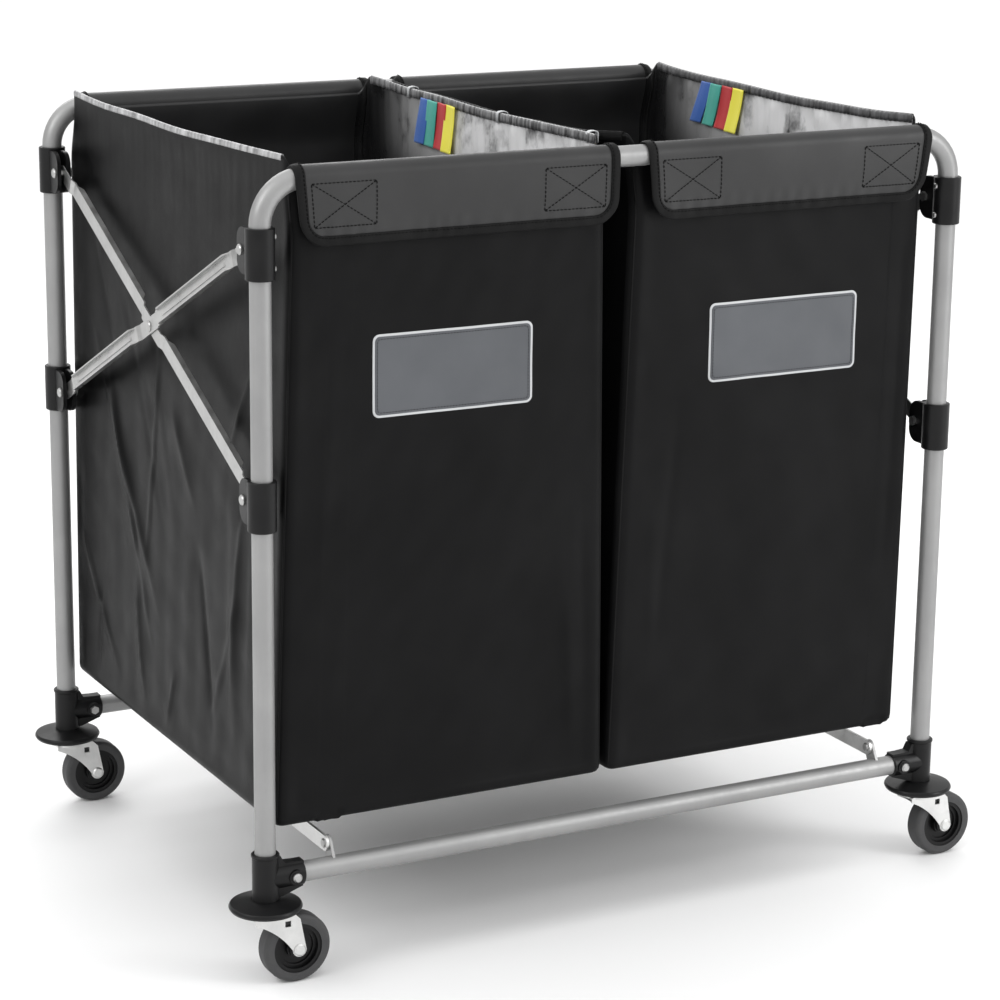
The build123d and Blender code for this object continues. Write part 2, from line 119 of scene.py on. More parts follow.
def cloth_uv(points, closed=False):
    """UVs in metres for a grid of cloth: across along a row, up along a column."""
    ring = np.concatenate([points, points[:, :1]], axis=1) if closed else points
    across = lengths_along(ring, 1).mean(axis=0)
    up = lengths_along(ring, 0)
    return [[(across[j], up[i, j]) for j in range(ring.shape[1])] for i in range(ring.shape[0])]


def thicken(obj, thickness, offset=-1.0, inner_slot=0):
    """Gives a sheet its thickness. inner_slot is added to the material of the new faces."""
    mod = obj.modifiers.new("thickness", "SOLIDIFY")
    mod.thickness = thickness
    mod.offset = offset
    mod.use_even_offset = False
    mod.use_quality_normals = True
    mod.material_offset = inner_slot
    return mod


def tube_mesh(name, path, radius, sides=8, closed=False):
    """A round tube along a list of points."""
    pts = np.array(path, float)
    n = len(pts)
    ahead = np.roll(pts, -1, axis=0) - np.roll(pts, 1, axis=0)
    if not closed:
        ahead[0], ahead[-1] = pts[1] - pts[0], pts[-1] - pts[-2]
    ahead /= np.linalg.norm(ahead, axis=1)[:, None]
    side = np.cross(ahead, [0.0, 0.0, 1.0])
    weak = np.linalg.norm(side, axis=1) < 0.2
    side[weak] = np.cross(ahead[weak], [1.0, 0.0, 0.0])
    for i in range(1, n):
        if side[i] @ side[i - 1] < 0:
            side[i] = -side[i]
    side /= np.linalg.norm(side, axis=1)[:, None]
    up = np.cross(side, ahead)
    turn = np.linspace(0, 2 * math.pi, sides, endpoint=False)
    ring = np.cos(turn)[None, :, None] * side[:, None] + np.sin(turn)[None, :, None] * up[:, None]
    grid = pts[:, None] + radius * ring
    if closed:
        grid = np.concatenate([grid, grid[:1]], axis=0)
    obj = grid_object(name, grid, cloth_uv(grid, closed=True), closed=True)
    if not closed:
        mesh = obj.data
        count = len(mesh.vertices)
        faces = [tuple(p.vertices) for p in mesh.polygons]
        faces.append(tuple(range(sides))[::-1])
        faces.append(tuple(range(count - sides, count)))
        verts = [tuple(v.co) for v in mesh.vertices]
        mesh.clear_geometry()
        mesh.from_pydata(verts, [], faces)
        mesh.polygons.foreach_set("use_smooth", [True] * len(mesh.polygons))
    return obj


def stitches(name, runs, normal_of, pitch=4.2 * MM, length=3.3 * MM, radius=0.50 * MM):
    """Thread lying in short stitches along runs, each a list of points on the cloth."""
    verts, faces = [], []
    for run in runs:
        pts = np.array(run, float)
        step = np.linalg.norm(np.diff(pts, axis=0), axis=1)
        along = np.concatenate([[0.0], np.cumsum(step)])
        count = max(1, int(along[-1] / pitch))
        for k in range(count):
            start = (k + 0.5) * along[-1] / count - length / 2
            ends = [
                np.array([np.interp(start + f * length, along, pts[:, c]) for c in range(3)])
                for f in (0.0, 0.2, 0.5, 0.8, 1.0)
            ]
            way = ends[-1] - ends[0]
            way /= np.linalg.norm(way)
            up = np.array(normal_of(ends[2]), float)
            side = np.cross(way, up)
            side /= np.linalg.norm(side)
            base = len(verts)
            for f, (centre, swell) in enumerate(zip(ends, (0.35, 0.9, 1.0, 0.9, 0.35))):
                lift = (-0.2, 0.55, 0.8, 0.55, -0.2)[f]
                for t in range(6):
                    a = t * math.pi / 3
                    ring = side * math.cos(a) + up * math.sin(a)
                    verts.append(tuple(centre + up * lift * radius + ring * radius * swell))
            for f in range(4):
                for t in range(6):
                    u = (t + 1) % 6
                    a, b = base + f * 6, base + (f + 1) * 6
                    faces.append((a + t, a + u, b + u, b + t))
            faces.append(tuple(base + t for t in range(6))[::-1])
            faces.append(tuple(base + 24 + t for t in range(6)))
    mesh = bpy.data.meshes.new(name)
    mesh.from_pydata(verts, [], faces)
    mesh.polygons.foreach_set("use_smooth", [True] * len(mesh.polygons))
    obj = bpy.data.objects.new(name, mesh)
    bpy.context.scene.collection.objects.link(obj)
    return obj


def smoothstep(x):
    x = np.clip(x, 0.0, 1.0)
    return x * x * (3 - 2 * x)


def ripple(x, y, seed, scale):
    """Smooth seeded waviness, about -1 to 1, of the given size in metres."""
    local = random.Random(seed)
    total = 0.0
    for _ in range(7):
        angle = local.uniform(0, math.pi)
        size = scale * local.uniform(0.6, 1.8)
        phase = local.uniform(0, 2 * math.pi)
        total = total + np.sin(
            2 * math.pi * (x * math.cos(angle) + y * math.sin(angle)) / size + phase
        )
    return total / 4.0


def crease(x, y, start, end, width, crisp=False):
    """A ridge of height 1 along the line from start to end, fading at its ends."""
    a, b = np.array(start), np.array(end)
    way = b - a
    size = np.linalg.norm(way)
    way = way / size
    along = (x - a[0]) * way[0] + (y - a[1]) * way[1]
    off = (x - a[0]) * way[1] - (y - a[1]) * way[0]
    fade = smoothstep(along / (0.3 * size)) * smoothstep((size - along) / (0.4 * size))
    if crisp:
        return np.exp(-np.sqrt(off**2 + (0.15 * width) ** 2) / width) * fade
    return np.exp(-((off / width) ** 2)) * fade


# ---- materials ----
def shader(name, color, roughness, metallic=0.0, **sockets):
    """A new material with its Principled shader. Extra sockets are set by name."""
    mat = bpy.data.materials.new(name)
    mat.use_nodes = True
    bsdf = mat.node_tree.nodes["Principled BSDF"]
    bsdf.inputs["Base Color"].default_value = (*color, 1)
    bsdf.inputs["Roughness"].default_value = roughness
    bsdf.inputs["Metallic"].default_value = metallic
    for key, value in sockets.items():
        bsdf.inputs[key.replace("_", " ")].default_value = value
    return mat, mat.node_tree.nodes, mat.node_tree.links, bsdf


def coordinates(nodes, links, kind, scale=(1, 1, 1), uv_map=None):
    """Texture coordinates through a mapping."""
    if uv_map:
        source = nodes.new("ShaderNodeUVMap")
        source.uv_map = uv_map
        out = source.outputs["UV"]
    else:
        source = nodes.new("ShaderNodeTexCoord")
        out = source.outputs[kind]
    mapping = nodes.new("ShaderNodeMapping")
    mapping.inputs["Scale"].default_value = scale
    links.new(out, mapping.inputs["Vector"])
    return mapping.outputs["Vector"]


def noise(nodes, links, vector, scale, detail=3.0, roughness=0.55):
    tex = nodes.new("ShaderNodeTexNoise")
    tex.inputs["Scale"].default_value = scale
    tex.inputs["Detail"].default_value = detail
    tex.inputs["Roughness"].default_value = roughness
    links.new(vector, tex.inputs["Vector"])
    return tex.outputs["Fac"]


def ramp(nodes, links, value, low, high, a=(0, 0, 0), b=(1, 1, 1)):
    node = nodes.new("ShaderNodeValToRGB")
    node.color_ramp.elements[0].position = low
    node.color_ramp.elements[1].position = high
    node.color_ramp.elements[0].color = (*a, 1)
    node.color_ramp.elements[1].color = (*b, 1)
    links.new(value, node.inputs["Fac"])
    return node.outputs["Color"]


def spread(nodes, links, value, low, high):
    """Maps a 0 to 1 texture value onto a range."""
    node = nodes.new("ShaderNodeMapRange")
    node.inputs["From Min"].default_value = 0.3
    node.inputs["From Max"].default_value = 0.7
    node.inputs["To Min"].default_value = low
    node.inputs["To Max"].default_value = high
    links.new(value, node.inputs["Value"])
    return node.outputs["Result"]


def bump(nodes, links, height, distance, strength=1.0, under=None):
    node = nodes.new("ShaderNodeBump")
    node.inputs["Distance"].default_value = distance
    node.inputs["Strength"].default_value = strength
    links.new(height, node.inputs["Height"])
    if under:
        links.new(under, node.inputs["Normal"])
    return node.outputs["Normal"]


def weave_height(nodes, links, period, uv_map="cloth"):
    """Height of a plain weave, from two sets of bands in the cloth's own UVs."""
    vector = coordinates(nodes, links, "UV", uv_map=uv_map)
    bands = []
    for direction in ("X", "Y"):
        wave = nodes.new("ShaderNodeTexWave")
        wave.wave_type = "BANDS"
        wave.bands_direction = direction
        wave.inputs["Scale"].default_value = 2 * math.pi / (20 * period)
        wave.inputs["Distortion"].default_value = 0.6
        wave.inputs["Detail"].default_value = 1.0
        wave.inputs["Detail Scale"].default_value = 2.0
        links.new(vector, wave.inputs["Vector"])
        bands.append(wave.outputs["Fac"])
    mixed = nodes.new("ShaderNodeMath")
    mixed.operation = "MULTIPLY"
    links.new(bands[0], mixed.inputs[0])
    links.new(bands[1], mixed.inputs[1])
    return mixed.outputs[0]


def cloth_material(name, dark, light, rough, period=0.9 * MM, relief=0.10 * MM, **sockets):
    """Woven cloth: uneven colour, thread relief, fine wrinkles and uneven gloss."""
    mat, nodes, links, bsdf = shader(name, dark, rough[0], **sockets)
    place = coordinates(nodes, links, "Object")
    broad = noise(nodes, links, place, 9.0, 4.0)
    links.new(ramp(nodes, links, broad, 0.3, 0.75, dark, light), bsdf.inputs["Base Color"])
    patches = noise(nodes, links, place, 28.0, 5.0)
    links.new(spread(nodes, links, patches, *rough), bsdf.inputs["Roughness"])
    fine = noise(nodes, links, place, 60.0, 4.0)
    normal = bump(nodes, links, fine, 0.5 * MM, 0.35)
    weave = weave_height(nodes, links, period)
    links.new(bump(nodes, links, weave, relief, 0.5, normal), bsdf.inputs["Normal"])
    return mat


def gathered_material(name, dark, light, pitch):
    """A shiny tape whose small gathers run across it, with painted highlights on the raised gathers and
    painted shade between them.
    """
    mat, nodes, links, bsdf = shader(name, dark, 0.34)
    run = coordinates(nodes, links, "UV", (pitch, pitch / 12, 1), uv_map="cloth")
    gathers = noise(nodes, links, run, 1.0, 4.0, 0.6)
    # painted highlight and shade: the gathers' height also sets the colour, light on the ridges and dark
    # between them
    links.new(ramp(nodes, links, gathers, 0.36, 0.68, dark, light), bsdf.inputs["Base Color"])
    links.new(spread(nodes, links, gathers, 0.26, 0.44), bsdf.inputs["Roughness"])
    links.new(bump(nodes, links, gathers, 0.7 * MM, 0.8), bsdf.inputs["Normal"])
    return mat


def painted_reflection_lining_material():
    """The coated inner side of a wall: dark low down, with a painted silvery reflection near its top and
    towards its front, streaked where the cloth is gathered under its tape.
    """
    mat, nodes, links, bsdf = shader("lining_painted_reflection", (0.01, 0.01, 0.01), 0.3)
    bsdf.inputs["Specular IOR Level"].default_value = 0.5
    place = coordinates(nodes, links, "Object")
    streaks = noise(nodes, links, coordinates(nodes, links, "Object", (1, 15, 12)), 1.0, 5.0, 0.6)
    # painted reflection: the streaks turn the colour silvery where the gloss would catch the light
    painted_reflection_color = ramp(nodes, links, streaks, 0.33, 0.50, (0.022, 0.022, 0.023), (0.72, 0.72, 0.725))
    split = nodes.new("ShaderNodeSeparateXYZ")
    links.new(place, split.inputs[0])
    height = nodes.new("ShaderNodeMapRange")
    height.interpolation_type = "SMOOTHSTEP"
    height.inputs["From Min"].default_value = RAIL_Z - 0.110
    height.inputs["From Max"].default_value = RAIL_Z - 0.020
    links.new(split.outputs["Z"], height.inputs["Value"])
    forward = nodes.new("ShaderNodeMapRange")
    forward.interpolation_type = "SMOOTHSTEP"
    forward.inputs["From Min"].default_value = 0.27
    forward.inputs["From Max"].default_value = 0.02
    links.new(split.outputs["Y"], forward.inputs["Value"])
    share = nodes.new("ShaderNodeMath")
    share.operation = "MULTIPLY"
    links.new(height.outputs["Result"], share.inputs[0])
    links.new(forward.outputs["Result"], share.inputs[1])
    # the painted reflection fades in only near the top of the wall and towards its front
    mix = nodes.new("ShaderNodeMix")
    mix.data_type = "RGBA"
    links.new(share.outputs[0], mix.inputs["Factor"])
    mix.inputs["A"].default_value = (0.007, 0.007, 0.0073, 1)
    links.new(painted_reflection_color, mix.inputs["B"])
    links.new(mix.outputs["Result"], bsdf.inputs["Base Color"])
    links.new(spread(nodes, links, streaks, 0.22, 0.38), bsdf.inputs["Roughness"])
    fine = noise(nodes, links, place, 45.0, 4.0)
    soft = bump(nodes, links, streaks, 2.0 * MM, 0.7)
    links.new(bump(nodes, links, fine, 0.6 * MM, 0.5, soft), bsdf.inputs["Normal"])
    return mat


def paint_material():
    """Silver-grey powder paint with a fine orange peel and small scuffs."""
    mat, nodes, links, bsdf = shader("silver_paint", (0.32, 0.32, 0.32), 0.42, 0.5)
    place = coordinates(nodes, links, "Object")
    tone = noise(nodes, links, place, 14.0, 4.0)
    links.new(
        ramp(nodes, links, tone, 0.3, 0.75, (0.27, 0.27, 0.27), (0.32, 0.32, 0.318)),
        bsdf.inputs["Base Color"],
    )
    peel = noise(nodes, links, place, 900.0, 2.0)
    scuff = noise(nodes, links, coordinates(nodes, links, "Object", (1, 1, 0.08)), 240.0, 6.0, 0.7)
    links.new(spread(nodes, links, scuff, 0.36, 0.52), bsdf.inputs["Roughness"])
    links.new(bump(nodes, links, peel, 0.03 * MM, 0.6), bsdf.inputs["Normal"])
    return mat


def zinc_material(name, dark, light):
    """Zinc plate on pressed steel: fine grain and faint cloudy patches."""
    mat, nodes, links, bsdf = shader(name, light, 0.3, 0.9)
    place = coordinates(nodes, links, "Object")
    cloud = noise(nodes, links, place, 35.0, 5.0, 0.65)
    links.new(
        ramp(nodes, links, cloud, 0.3, 0.7, dark, light),
        bsdf.inputs["Base Color"],
    )
    grain = noise(nodes, links, place, 700.0, 3.0)
    links.new(spread(nodes, links, cloud, 0.26, 0.44), bsdf.inputs["Roughness"])
    links.new(bump(nodes, links, grain, 0.04 * MM, 0.5), bsdf.inputs["Normal"])
    return mat


def plastic_material():
    """Moulded black plastic with a fine spark-eroded grain."""
    mat, nodes, links, bsdf = shader("black_plastic", (0.009, 0.009, 0.0095), 0.36)
    bsdf.inputs["Specular IOR Level"].default_value = 0.22
    place = coordinates(nodes, links, "Object")
    tone = noise(nodes, links, place, 40.0, 4.0)
    links.new(
        ramp(nodes, links, tone, 0.3, 0.75, (0.004, 0.004, 0.0043), (0.008, 0.008, 0.0083)),
        bsdf.inputs["Base Color"],
    )
    grain = noise(nodes, links, place, 1300.0, 2.0)
    links.new(spread(nodes, links, tone, 0.30, 0.44), bsdf.inputs["Roughness"])
    links.new(bump(nodes, links, grain, 0.05 * MM, 0.5), bsdf.inputs["Normal"])
    return mat


def tread_material():
    """Grey soft tread, matt, with dust in its grain."""
    mat, nodes, links, bsdf = shader("grey_tread", (0.085, 0.085, 0.088), 0.62)
    place = coordinates(nodes, links, "Object")
    dust = noise(nodes, links, place, 90.0, 6.0, 0.7)
    links.new(
        ramp(nodes, links, dust, 0.35, 0.8, (0.034, 0.034, 0.036), (0.054, 0.054, 0.053)),
        bsdf.inputs["Base Color"],
    )
    links.new(spread(nodes, links, dust, 0.55, 0.75), bsdf.inputs["Roughness"])
    links.new(bump(nodes, links, dust, 0.12 * MM, 0.5), bsdf.inputs["Normal"])
    return mat


def floor_material():
    mat, nodes, links, bsdf = shader("pale_floor", (0.86, 0.86, 0.86), 0.6)
    place = coordinates(nodes, links, "Object")
    tone = noise(nodes, links, place, 0.8, 2.0)
    links.new(
        ramp(nodes, links, tone, 0.2, 0.9, (0.87, 0.87, 0.87), (0.90, 0.90, 0.90)),
        bsdf.inputs["Base Color"],
    )
    return mat


SPECULAR = "Specular_IOR_Level"
BLACK_CLOTH = cloth_material(
    "black_cloth", (0.0030, 0.0030, 0.0032), (0.0055, 0.0055, 0.0058), (0.38, 0.52), **{SPECULAR: 0.10}
)
# painted shade: the side walls' cloth is the front's black cloth made darker
SHADED_SIDE_CLOTH = cloth_material(
    "side_cloth_painted_shade", (0.0016, 0.0016, 0.0017), (0.0030, 0.0030, 0.0032), (0.28, 0.38), **{SPECULAR: 0.065}
)
INNER_CLOTH = cloth_material(
    "inner_cloth", (0.0130, 0.0130, 0.0134), (0.0220, 0.0220, 0.0226), (0.34, 0.46), **{SPECULAR: 0.34}
)
# the flaps are a heavier coated cloth, and part of their lighter colour is painted sheen
FLAP_CLOTH = cloth_material(
    "flap_cloth", (0.020, 0.020, 0.0204), (0.029, 0.029, 0.0294), (0.36, 0.48), **{SPECULAR: 0.30}
)
BINDING = cloth_material(
    "binding_tape", (0.0035, 0.0035, 0.0036), (0.0080, 0.0080, 0.0081), (0.5, 0.66), 1.6 * MM, 0.3 * MM,
    **{SPECULAR: 0.12}
)
SILVER_TAPE = gathered_material("silver_tape", (0.035, 0.035, 0.036), (0.30, 0.30, 0.305), 150)
GREY_TAPE = gathered_material("grey_tape", (0.045, 0.045, 0.046), (0.16, 0.16, 0.165), 90)
PALE_TAPE = gathered_material("pale_tape", (0.12, 0.12, 0.122), (0.52, 0.52, 0.525), 60)
LINING_PAINTED_REFLECTION = painted_reflection_lining_material()
# the tape on each bag's side walls, by bag and face, and how far it reaches down the wall in mm
TAPES = {
    (0, 1): (SILVER_TAPE, 8.0),
    (0, 3): (PALE_TAPE, 5.0),
    (1, 1): (GREY_TAPE, 8.0),
    (1, 3): (BINDING, 8.0),
}
THREAD = cloth_material(
    "thread", (0.0015, 0.0015, 0.0015), (0.004, 0.004, 0.004), (0.5, 0.7), 0.8 * MM, 0.1 * MM,
    **{SPECULAR: 0.10}
)
RIBBON_CLOTHS = [
    cloth_material(f"{name}_ribbon", dark, light, (0.5, 0.65), 1.0 * MM, 0.15 * MM, Sheen_Weight=0.2)
    for name, dark, light in (
        ("blue", (0.018, 0.090, 0.36), (0.035, 0.14, 0.48)),
        ("green", (0.045, 0.36, 0.29), (0.08, 0.45, 0.37)),
        ("red", (0.50, 0.022, 0.028), (0.60, 0.040, 0.045)),
        ("yellow", (0.88, 0.80, 0.06), (0.93, 0.87, 0.12)),
    )
]
PATCH = cloth_material(
    "plain_patch", (0.060, 0.064, 0.072), (0.085, 0.090, 0.100), (0.45, 0.6), 0.8 * MM, 0.08 * MM
)
PATCH_EDGE = cloth_material(
    "patch_border", (0.48, 0.49, 0.50), (0.56, 0.57, 0.58), (0.5, 0.65), 0.8 * MM, 0.1 * MM
)
SILVER_PAINT = paint_material()
ZINC = zinc_material("zinc_plate", (0.34, 0.34, 0.336), (0.50, 0.50, 0.494))
BRIGHT_ZINC = zinc_material("bright_zinc_plate", (0.58, 0.58, 0.575), (0.72, 0.72, 0.71))
BLACK_PLASTIC = plastic_material()
GREY_TREAD = tread_material()

SLOT_MATERIALS = {
    "painted_tube": SILVER_PAINT,
    "zinc_steel": ZINC,
    "black_plastic": BLACK_PLASTIC,
    "grey_tread": GREY_TREAD,
    "black_cloth": BLACK_CLOTH,
    "ribbon": RIBBON_CLOTHS[0],
    "patch": PATCH,
}


def dress_nodes():
    """Gives every CAD node its detailed material, and the plastic and zinc nodes soft edges."""
    for part in frame["record"]["subparts"]:
        node = NODES[part["node"]]
        material = SLOT_MATERIALS[part["material_slot"]]
        if part["node"].startswith("caster_fork") or "strut" in part["node"]:
            material = BRIGHT_ZINC
        for slot in node.material_slots:
            slot.material = material
        if part["material_slot"] in ("black_plastic", "zinc_steel"):
            edge = node.modifiers.new("soft_edges", "BEVEL")
            edge.width = 0.45 * MM
            edge.segments = 2
            edge.limit_method = "ANGLE"
            edge.angle_limit = math.radians(40)
            edge.harden_normals = False


def make_piece(obj, body, materials, squash=False):
    """Puts a piece on its body with its materials."""
    for material in materials:
        obj.data.materials.append(material)
    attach(obj, body)
    if squash:
        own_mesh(obj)
    return obj


# ---- bags ----
BAGS = (
    {
        "name": "left",
        "flap": (-376 * MM, -14 * MM),
        "left_low": -396 * MM,
        "left_top": (-372 * MM, -390 * MM),
        "right_low": -9.5 * MM,
        "right_top": (-21 * MM, -15.5 * MM, -21 * MM),
    },
    {
        "name": "right",
        "flap": (23 * MM, 376 * MM),
        "left_low": -3.0 * MM,
        "left_top": (19 * MM, -9.5 * MM, 19 * MM),
        "right_low": 373 * MM,
        "right_top": (379 * MM, 372 * MM, 377 * MM),
    },
)
TOP_EDGE_Z = RAIL_Z + TUBE_R + 7.5 * MM


def edge_x(knots, b):
    """X of a side wall's top edge at depth share b, from 2 or 3 given values."""
    if len(knots) == 2:
        return knots[0] + (knots[1] - knots[0]) * b
    near = smoothstep(b / 0.10)
    far = smoothstep((1 - b) / 0.10)
    return knots[0] + (knots[1] - knots[0]) * near + (knots[2] - knots[1]) * (1 - far)


def panel_y(z):
    """How far the front and rear cloth stands from the cart's middle at height z."""
    tangent = FRAME_Y - TUBE_R - CLOTH_IN
    share = smoothstep((z - (RAIL_Z - 62 * MM)) / (60 * MM))
    return PANEL_HALF + (tangent - PANEL_HALF) * share


def side_edge_z(b, seed):
    """Height of a side wall's sagging top edge at depth share b."""
    sag = 5.0 * MM * 4 * b * (1 - b)
    return TOP_EDGE_Z - sag + 1.2 * MM * ripple(b * 0.6, 0 * b, seed, 0.16)


def wall_ruffle(y, drop, seed, strength):
    """Gathers under the tape of a wall, as vertical folds that fade below it."""
    wave = np.sin(2 * math.pi * y / (34 * MM) + 2.6 * ripple(y, 0 * y, seed, 0.12))
    wave = wave + 0.55 * np.sin(2 * math.pi * y / (15 * MM) + 2.4 * ripple(y, drop * 0.3, seed + 1, 0.07))
    wave = wave + 0.8 * ripple(y, drop * 0.5, seed + 3, 0.05)
    return strength * wave * smoothstep((drop - 4 * MM) / (18 * MM)) * np.exp(-drop / (60 * MM))


def plan_ring(radius=11 * MM, across=90, deep=150, corner=7):
    """The bag's outline seen from above, as shares (a, b), face numbers, and each cell's share along its
    face.
    """
    width, depth = 0.37, 0.59
    ra, rb = radius / width, radius / depth
    cells = []

    def straight(p, q, count, face):
        for k in range(count):
            t = k / count
            cells.append((p[0] + (q[0] - p[0]) * t, p[1] + (q[1] - p[1]) * t, face, t))

    def round_corner(centre, start, face):
        for k in range(corner):
            angle = start + (k / corner) * math.pi / 2
            cells.append(
                (centre[0] + ra * math.cos(angle), centre[1] + rb * math.sin(angle), face, k / corner)
            )

    straight((ra, 0), (1 - ra, 0), across, 0)
    round_corner((1 - ra, rb), -math.pi / 2, 4)
    straight((1, rb), (1, 1 - rb), deep, 1)
    round_corner((1 - ra, 1 - rb), 0, 5)
    straight((1 - ra, 1), (ra, 1), across, 2)
    round_corner((ra, 1 - rb), math.pi / 2, 6)
    straight((0, 1 - rb), (0, rb), deep, 3)
    round_corner((ra, rb), math.pi, 7)
    return cells


# long creases of the left-hand wall: start and end from the front and the floor, width, height
WALL_CREASES = (
    ((0.53, 0.62), (0.31, 0.28), 9, 3.4),
    ((0.49, 0.60), (0.34, 0.24), 6, 2.6),
    ((0.57, 0.36), (0.44, 0.19), 6, 2.8),
    ((0.50, 0.30), (0.52, 0.18), 5, -2.2),
    ((0.10, 0.50), (0.13, 0.24), 9, 2.6),
    ((0.22, 0.42), (0.17, 0.20), 8, -2.4),
    ((0.40, 0.34), (0.37, 0.18), 5, 2.2),
    ((0.03, 0.72), (0.16, 0.50), 6, 2.6),
    ((0.04, 0.62), (0.12, 0.44), 5, -2.0),
    ((0.30, 0.56), (0.22, 0.44), 12, 2.2),
    ((0.55, 0.78), (0.45, 0.56), 7, -2.2),
    ((0.28, 0.26), (0.31, 0.17), 5, 1.8),
)


def face_relief(bag, face, u, z):
    """How far the cloth stands out of its plane: folds and creases of one face."""
    seed = 100 * bag + 10 * face
    local = random.Random(seed + 5)
    broad = 1.1 if face in (0, 2) else 0.7
    relief = broad * MM * ripple(u, z * 0.6, seed, 0.18)
    relief = relief + 0.45 * MM * ripple(u, z, seed + 1, 0.06)
    if face in (0, 2):
        for edge in (0.0, 0.37):
            for _ in range(3):
                x = abs(edge - local.uniform(0.012, 0.055))
                low = BAG_LOW_Z + local.uniform(0.02, 0.30)
                high = low + local.uniform(0.18, 0.36)
                lean = local.uniform(-0.02, 0.02)
                relief = relief + local.uniform(-2.2, 1.8) * MM * crease(
                    u, z, (x, low), (x + lean, high), 7 * MM
                )
        relief = relief - 3.0 * MM * np.exp(-(((z - BAG_LOW_Z) / (60 * MM)) ** 2))
    else:
        for _ in range(9):
            x = local.uniform(0.04, 0.50)
            low = BAG_LOW_Z + local.uniform(0.0, 0.28)
            run = local.uniform(0.16, 0.40)
            lean = local.uniform(-0.55, 0.55)
            relief = relief + local.uniform(-1.6, 1.6) * MM * crease(
                u, z, (x, low), (x + lean * run, low + run), local.uniform(5, 12) * MM
            )
        for start, end, width, height in WALL_CREASES:
            if (bag, face) != (0, 3):
                start, end = (0.59 - start[0], start[1]), (0.59 - end[0], end[1])
            relief = relief + 1.35 * height * MM * crease(u, z, start, end, width * MM, crisp=True)
        # the cloth is pulled flat towards its upper edge
        relief = relief * (1 - 0.8 * smoothstep((z - 0.56) / 0.14))
        relief = relief - 2.0 * MM * np.sin(np.clip(u / 0.59, 0, 1) * math.pi)
    return relief


def bag_point(bag, a, b, z):
    """A point of the bag's plain form at plan share (a, b) and height z."""
    spec = BAGS[bag]
    height = np.clip((z - BAG_LOW_Z) / (TOP_EDGE_Z - BAG_LOW_Z), 0, 1)
    top_left = edge_x(spec["left_top"], b)
    top_right = edge_x(spec["right_top"], b)
    left = spec["left_low"] + (top_left - spec["left_low"]) * height
    right = spec["right_low"] + (top_right - spec["right_low"]) * height
    deep = panel_y(z)
    return left + (right - left) * a, -deep + 2 * deep * b


def bag_shell(bag):
    """One bag as a single sewn shell: four walls and the turned-in margin of its floor."""
    spec = BAGS[bag]
    ring = plan_ring()
    cols = len(ring)
    a = np.array([c[0] for c in ring])
    b = np.array([c[1] for c in ring])
    face = np.array([c[2] for c in ring])
    part = np.array([c[3] for c in ring])
    # how much each column belongs to a side wall, for the height of its top edge
    side = np.isin(face, (1, 3)).astype(float)
    side[face == 4] = smoothstep(part[face == 4])
    side[face == 5] = 1 - smoothstep(part[face == 5])
    side[face == 6] = smoothstep(part[face == 6])
    side[face == 7] = 1 - smoothstep(part[face == 7])
    top = RAIL_Z - 1 * MM + (side_edge_z(b, 7 + bag) - RAIL_Z + 1 * MM) * side
    margin = [(40, 0.6), (30, 0.2), (20, 0.0), (12, 0.1), (6, 0.8), (2.6, 2.6), (0.8, 5.5), (0, 9)]
    rows = 190
    points = np.zeros((len(margin) + rows, cols, 3))
    nx = np.select([face == 1, face == 3], [-1.0, 1.0], 0.0)
    ny = np.select([face == 0, face == 2], [1.0, -1.0], 0.0)
    for corner, sx, sy in ((4, -1, 1), (5, -1, -1), (6, 1, -1), (7, 1, 1)):
        mask = face == corner
        turn = part[mask] * math.pi / 2
        first, second = np.cos(turn), np.sin(turn)
        if corner in (4, 6):
            nx[mask], ny[mask] = sx * second, sy * first
        else:
            nx[mask], ny[mask] = sx * first, sy * second
    width, depth = 0.37, 0.59
    relief_share = np.isin(face, (0, 1, 2, 3)).astype(float)
    edge_near = np.where(np.isin(face, (0, 2)), np.minimum(a, 1 - a) * width, np.minimum(b, 1 - b) * depth)
    relief_share = relief_share * smoothstep((edge_near - 8 * MM) / (18 * MM))
    for i in range(len(margin) + rows):
        if i < len(margin):
            inset, rise = margin[i]
            z = np.full(cols, BAG_LOW_Z + rise * MM)
            x, y = bag_point(bag, a, b, z)
            x = x + nx * min(inset * MM, HEM_SIDE)
            at_slot = np.abs(x - STRUT_X[bag]) < SLOT_HALF
            y = y + ny * np.where(at_slot, HEM_AT_SLOT, min(inset * MM, HEM_END))
            out = np.zeros(cols)
        else:
            share = (i - len(margin) + 1) / rows
            low = BAG_LOW_Z + margin[-1][1] * MM
            z = low + (top - low) * share
            x, y = bag_point(bag, a, b, z)
            out = np.zeros(cols)
            for f in range(4):
                mask = face == f
                u = (a[mask] * width) if f in (0, 2) else (b[mask] * depth)
                out[mask] = face_relief(bag, f, u, z[mask])
            fade_top = smoothstep((top - z) / (50 * MM))
            fade_low = smoothstep((z - BAG_LOW_Z) / (30 * MM))
            out = out * relief_share * fade_top * fade_low
            for f, strength in ((1, 2.0), (3, 0.12)):
                mask = face == f
                out[mask] += wall_ruffle(y[mask], top[mask] - z[mask], 31 + 10 * bag + f, strength * MM)
        points[i, :, 0] = x - nx * out
        points[i, :, 1] = y - ny * out
        points[i, :, 2] = z
    obj = grid_object(f"{spec['name']}_bag_shell", points, cloth_uv(points, closed=True), closed=True)
    walls = np.tile(2 * np.isin(face, (1, 3, 5, 6)).astype(np.int32), len(points) - 1)
    obj.data.polygons.foreach_set("material_index", walls)
    thicken(obj, 0.9 * MM, offset=1.0, inner_slot=1)
    return obj, points, face


def check_outward(obj):
    """Flips a shell's faces if they look into the bag."""
    mesh = obj.data
    centre = sum((v.co for v in mesh.vertices), Vector()) / len(mesh.vertices)
    balance = sum((p.center - centre).dot(p.normal) * p.area for p in mesh.polygons)
    if balance < 0:
        mesh.flip_normals()


